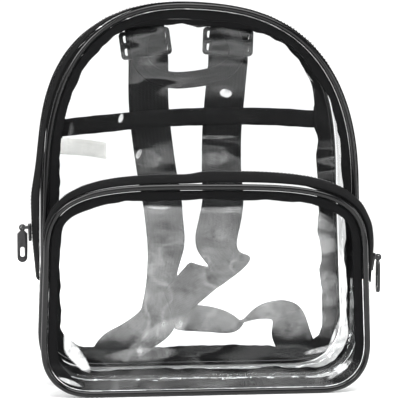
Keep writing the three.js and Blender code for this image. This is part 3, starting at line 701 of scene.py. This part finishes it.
# Two interlocking rows of small loops along the zip
def addCoil(name, node):
    low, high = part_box(node)
    middle = (low[1] + high[1]) / 2 / mm
    line = stripLine(node, middle, 400, False)
    length = sum((b - a).length for a, b in zip(line, line[1:]))
    count = int(length / (teeth["pitch"] * mm))
    line = evenly(line, count)
    points, faces = [], []
    for i, p in enumerate(line):
        along = (line[min(i + 1, count - 1)] - line[max(i - 1, 0)]).normalized()
        out = Vector((along.z, 0, -along.x))
        if out.dot(p - Vector((0, p.y, 0.14))) < 0:
            out = -out
        side = 1 if i % 2 else -1
        sink = p - out * teeth["height"] * 0.5 * mm
        base = len(points)
        wire = teeth["wire"] * mm
        for end, lift in ((-0.25, 0.0), (0.0, 0.55), (0.6, 0.75), (0.86, 0.3)):
            centre = sink + Vector((0, side * end * teeth["width"] * mm, 0)) + out * lift * teeth["height"] * 0.5 * mm
            for a, b in ((-1, -1), (1, -1), (1, 1), (-1, 1)):
                points.append(centre + along * a * wire * 0.5 + out * b * wire * 0.5)
        for k in range(3):
            for j in range(4):
                a, b = base + 4 * k + j, base + 4 * k + (j + 1) % 4
                faces.append((a, b, b + 4, a + 4))
        faces += [(base, base + 1, base + 2, base + 3), (base + 15, base + 14, base + 13, base + 12)]
    piece(name, points, faces, "coil", "zip_coil", [node])
    rows = []
    for i, p in enumerate(line):
        inwards = (Vector((0, p.y, 0.14)) - p).normalized() * 1.5 * mm
        rows.append([p + inwards + Vector((0, (k - 1) * teeth["cord"] * mm, 0)) for k in range(3)])
    points, faces, uvs = grid(rows)
    piece(name + "Cord", points, faces, "tape", "zip_tape", [node], uvs)


addCoil("mainCoil", "main_coil")
addCoil("pocketCoil", "pocket_coil")


# A CAD node's own shape again, with its corners joined and its edges rounded
def rounded(name, node, finish, width, body="root"):
    made = cadMesh(node)
    bmesh.ops.dissolve_limit(made, angle_limit=math.radians(1), verts=made.verts, edges=made.edges)
    mesh = bpy.data.meshes.new(name)
    made.to_mesh(mesh)
    made.free()
    mesh.materials.append(finishes[finish])
    for polygon in mesh.polygons:
        polygon.use_smooth = True
    piece = bpy.data.objects.new(name, mesh)
    bpy.context.collection.objects.link(piece)
    bevel = piece.modifiers.new("edges", "BEVEL")
    bevel.width = width * mm
    bevel.segments = 2
    bevel.angle_limit = math.radians(35)
    bevel.harden_normals = True
    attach(piece, body)
    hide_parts(node)
    return piece


rounded("mainSlider", "main_slider", "metal", 0.3)
rounded("pocketSlider", "pocket_slider", "metal", 0.3)
rounded("mainPull", "main_pull", "metal", 0.3, "main_pull")
rounded("pocketPull", "pocket_pull", "metal", 0.3, "pocket_pull")
rounded("leftBuckle", "left_buckle", "buckle", 0.7)
rounded("rightBuckle", "right_buckle", "buckle", 0.7)

print("webbing")

# Shares are of the bag's half width and height, and of the strap's own width, as on the part
straps = {
    "halfWidth": 132, "height": 305, "back": 40.8, "width": 35, "thick": 1.5, "steps": 9, "cuts": 10,
    "buckle": {"depth": 46.35, "reach": 2.85, "height": 24, "shift": 0.9},
    "wrinkles": [{"length": 19, "reach": 0.9}, {"length": 7, "reach": 0.3}],
    "cut": {"left": (35, 320), "right": (35, 430), "tab": (35, 21)},
    "threads": [(0.04, -1), (-0.121, -1), (-0.342, 1), (-0.54, 1)],
    "tabThreads": [(0.7, -1), (0.5, -1), (0.342, -1), (0.121, 1), (-0.04, 1)],
}
buckles = {
    "left": {"across": -0.317, "up": 0.925, "tilt": 8},
    "right": {"across": 0.234, "up": 0.933, "tilt": -2},
}
# Rows of a strap's lie: across, up, behind, turn and dip of its width in degrees, and its spread
strapRuns = {
    "left": [
        (-0.295, 0.858, 0.25, 2, 0, 1), (-0.295, 0.765, 0.28, 1, 3, 1),
        (-0.277, 0.678, 0.36, 5, -3, 1), (-0.239, 0.563, 0.5, 8, 4, 1),
        (-0.199, 0.475, 0.66, 7, -4, 1), (-0.181, 0.41, 0.84, 3, -8, 0.98),
        (-0.165, 0.335, 1.0, -1, 16, 1), (-0.193, 0.245, 1.1, -1, 37, 1),
        (-0.2, 0.171, 1.0, -9, 20, 1), (-0.235, 0.114, 0.85, -36, -4, 1),
        (-0.376, 0.073, 0.6, -45, -8, 0.95), (-0.493, 0.054, 0.35, -32, -6, 0.96),
        (-0.556, 0.029, 0, -2, 0, 1),
    ],
    "right": [
        (0.236, 0.862, 0.25, -1, 0, 1), (0.214, 0.765, 0.28, -3, -3, 1),
        (0.2, 0.678, 0.33, -2, 3, 1), (0.198, 0.563, 0.38, 0, -4, 1),
        (0.211, 0.482, 0.4, 3, 3, 1.06), (0.191, 0.418, 0.42, -4, -3, 1.08),
        (0.165, 0.362, 0.44, -7, 2, 1.08), (0.182, 0.323, 0.46, -1, 3, 1.08),
        (0.265, 0.287, 0.52, 14, 2, 1.1), (0.158, 0.264, 0.7, -20, 4, 1.02),
        (0.09, 0.253, 0.7, -38, -18, 1), (0.042, 0.236, 0.64, -44, -30, 1),
        (-0.04, 0.205, 0.55, -50, -38, 1), (-0.131, 0.163, 0.46, -62, -42, 1),
        (-0.128, 0.141, 0.44, -84, -50, 1), (-0.02, 0.13, 0.52, -88, -56, 1),
        (0.12, 0.124, 0.54, -90, -58, 1), (0.235, 0.115, 0.56, -90, -64, 1),
        (0.309, 0.112, 0.58, -90, -80, 1), (0.364, 0.121, 0.58, 90, -74, 1),
        (0.459, 0.142, 0.56, 92, -62, 1), (0.581, 0.148, 0.54, 80, -54, 1),
        (0.648, 0.131, 0.5, 45, -38, 1), (0.672, 0.082, 0.3, 18, -8, 0.98),
        (0.702, 0.039, 0, 2, 0, 1),
    ],
}
handle = {
    "width": 14.5, "thick": 1.5, "layer": 41.6, "cut": (14.5, 160),
    "run": [
        (-0.325, 0.966, 0), (-0.36, 0.92, 0), (-0.35, 0.87, 0.02), (-0.265, 0.834, 0.12),
        (-0.14, 0.82, 0.2), (-0.01, 0.823, 0.22), (0.125, 0.834, 0.2), (0.24, 0.858, 0.12),
        (0.29, 0.898, 0.02), (0.27, 0.938, 0), (0.24, 0.966, 0),
    ],
}


def placed(across, up, y):
    return Vector((across * straps["halfWidth"], y, up * straps["height"])) * mm


def sideways(turn, dip):
    t, d = math.radians(turn), math.radians(dip)
    return Vector((math.cos(t) * math.cos(d), math.sin(d), math.sin(t) * math.cos(d)))


# A smooth line through rows of vectors
def through(rows, steps):
    made = []
    for i in range(len(rows) - 1):
        a, b, c, d = rows[max(i - 1, 0)], rows[i], rows[i + 1], rows[min(i + 2, len(rows) - 1)]
        for k in range(steps):
            t = k / steps
            made.append(b + ((c - a) * t + (a * 2 - b * 5 + c * 4 - d) * t * t + (b * 3 - a - c * 3 + d) * t ** 3) * 0.5)
    return made + [rows[-1]]


# A soft ribbon along centres whose width lies along sides, rumpled towards the rear only
def ribbon(name, node, centres, sides, widths, thick, finish, slot, wrinkles, floor, seed):
    rows = []
    for centre, side, width in zip(centres, sides, widths):
        side = side.normalized()
        row = []
        for k in range(straps["cuts"] + 1):
            share = k / straps["cuts"] - 0.5
            p = centre + side * width * share * mm
            rumple = sum(noise.noise(p / (w["length"] * mm) + Vector((seed, seed, 0))) * w["reach"] for w in wrinkles)
            p.y = max(p.y + (rumple + abs(share) * 0.3) * mm, floor * mm)
            row.append(p)
        rows.append(row)
    points, faces, uvs = grid(rows)
    made = piece(name, points, faces, finish, slot, [node], uvs)
    body = made.modifiers.new("thickness", "SOLIDIFY")
    body.thickness = thick * mm
    body.offset = 0
    return made


def threaded(side, threads):
    buckle, sizes = buckles[side], straps["buckle"]
    middle = placed(buckle["across"], buckle["up"], sizes["depth"]) + Vector((sizes["shift"] * mm, 0, 0))
    up = sideways(buckle["tilt"] + 90, 0)
    return [middle + up * share * sizes["height"] * mm + Vector((0, depth * sizes["reach"] * mm, 0))
            for share, depth in threads], sideways(buckle["tilt"], 0)


def addStrap(side):
    width, floor = straps["width"], straps["back"] + 0.95
    tab, across = threaded(side, straps["tabThreads"])
    centres = smoothed(through(tab, 6), 4)
    ribbon(side + "StrapTab", side + "_strap_tab", centres, [across] * len(centres), [width] * len(centres),
           straps["thick"], "webbing", "webbing", [], floor, 0)
    thread, across = threaded(side, straps["threads"])
    run = [placed(r[0], r[1], straps["back"] + 0.8 + r[2] * width) for r in strapRuns[side]]
    turns = [sideways(r[3], r[4]) for r in strapRuns[side]]
    spread = [Vector((width * r[5], 0, 0)) for r in strapRuns[side]]
    steps = straps["steps"]
    centres = smoothed(through(thread + run, steps), 5)
    sides = smoothed(through([across] * len(thread) + turns, steps), 5)
    widths = [w.x for w in smoothed(through([Vector((width, 0, 0))] * len(thread) + spread, steps), 5)]
    ribbon(side + "Strap", side + "_strap", centres, sides, widths, straps["thick"], "webbing", "webbing",
           straps["wrinkles"], floor, 3 if side == "left" else 8)


addStrap("left")
addStrap("right")


def addHandle():
    run = [placed(r[0], r[1], handle["layer"] + r[2] * handle["width"]) for r in handle["run"]]
    centres = smoothed(through(run, 8), 4)
    sides = []
    for i in range(len(centres)):
        along = centres[min(i + 1, len(centres) - 1)] - centres[max(i - 1, 0)]
        sides.append(Vector((along.z, 0, -along.x)))
    ribbon("carryHandle", "carry_handle", centres, sides, [handle["width"]] * len(centres), handle["thick"],
           "webbing", "webbing", [{"length": 16, "reach": 0.5}], straps["back"] + 0.9, 5)


addHandle()

print("band and label")

band = {
    "width": 15.2, "thick": 0.6, "tuck": 4, "cut": (15.2, 230),
    "run": [(-1, 0.68), (-0.65, 0.694), (-0.24, 0.709), (0.12, 0.715), (0.41, 0.717), (0.7, 0.715), (1, 0.709)],
}
label = {"length": 43, "width": 14, "thick": 0.5, "up": 0.629, "droop": 4}


def addBand():
    low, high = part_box("back_band")
    middle = (low[0] + high[0]) / 2
    reach = (high[0] - low[0]) / 2 + band["tuck"] * mm
    y = (low[1] + high[1]) / 2
    run = [Vector((middle + reach * s, y + (0.5 * mm if abs(s) == 1 else 0), up * straps["height"] * mm))
           for s, up in band["run"]]
    centres = smoothed(through(run, 14), 4)
    sides = [Vector((0, 0, 1))] * len(centres)
    points = []
    for centre in centres:
        frill = [noise.noise(Vector((centre.x / (13 * mm), e, 2))) * 0.5 for e in (0, 7)]
        points.append([centre + Vector((0, 0, (e - 0.5) * band["width"] + frill[round(e)] * abs(e - 0.5) * 2)) * mm
                       for e in (0, 0.25, 0.5, 0.75, 1)])
    made, faces, uvs = grid(points)
    sewn = piece("backBand", made, faces, "binding", "binding", ["back_band"], uvs)
    body = sewn.modifiers.new("thickness", "SOLIDIFY")
    body.thickness = band["thick"] * mm
    body.offset = 0


# A blank woven label that curls and droops towards its free end and lies flat at its tucked one
def addLabel():
    low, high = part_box("label")
    rows = []
    for k in range(25):
        share = k / 24
        x = low[0] + share * label["length"] * mm
        z = label["up"] * straps["height"] - share * share * label["droop"]
        row = []
        for e in (-0.5, -0.25, 0, 0.25, 0.5):
            curl = math.sin(share * 3) * 1.2 + e * e * 1.6 * share
            row.append(Vector((x, high[1] - (0.3 + curl) * mm, (z + e * label["width"]) * mm)))
        rows.append(row)
    points, faces, uvs = grid(rows)
    made = piece("careLabel", points, faces, "label", "label", ["label"], uvs)
    body = made.modifiers.new("thickness", "SOLIDIFY")
    body.thickness = label["thick"] * mm
    body.offset = 0


addBand()
addLabel()
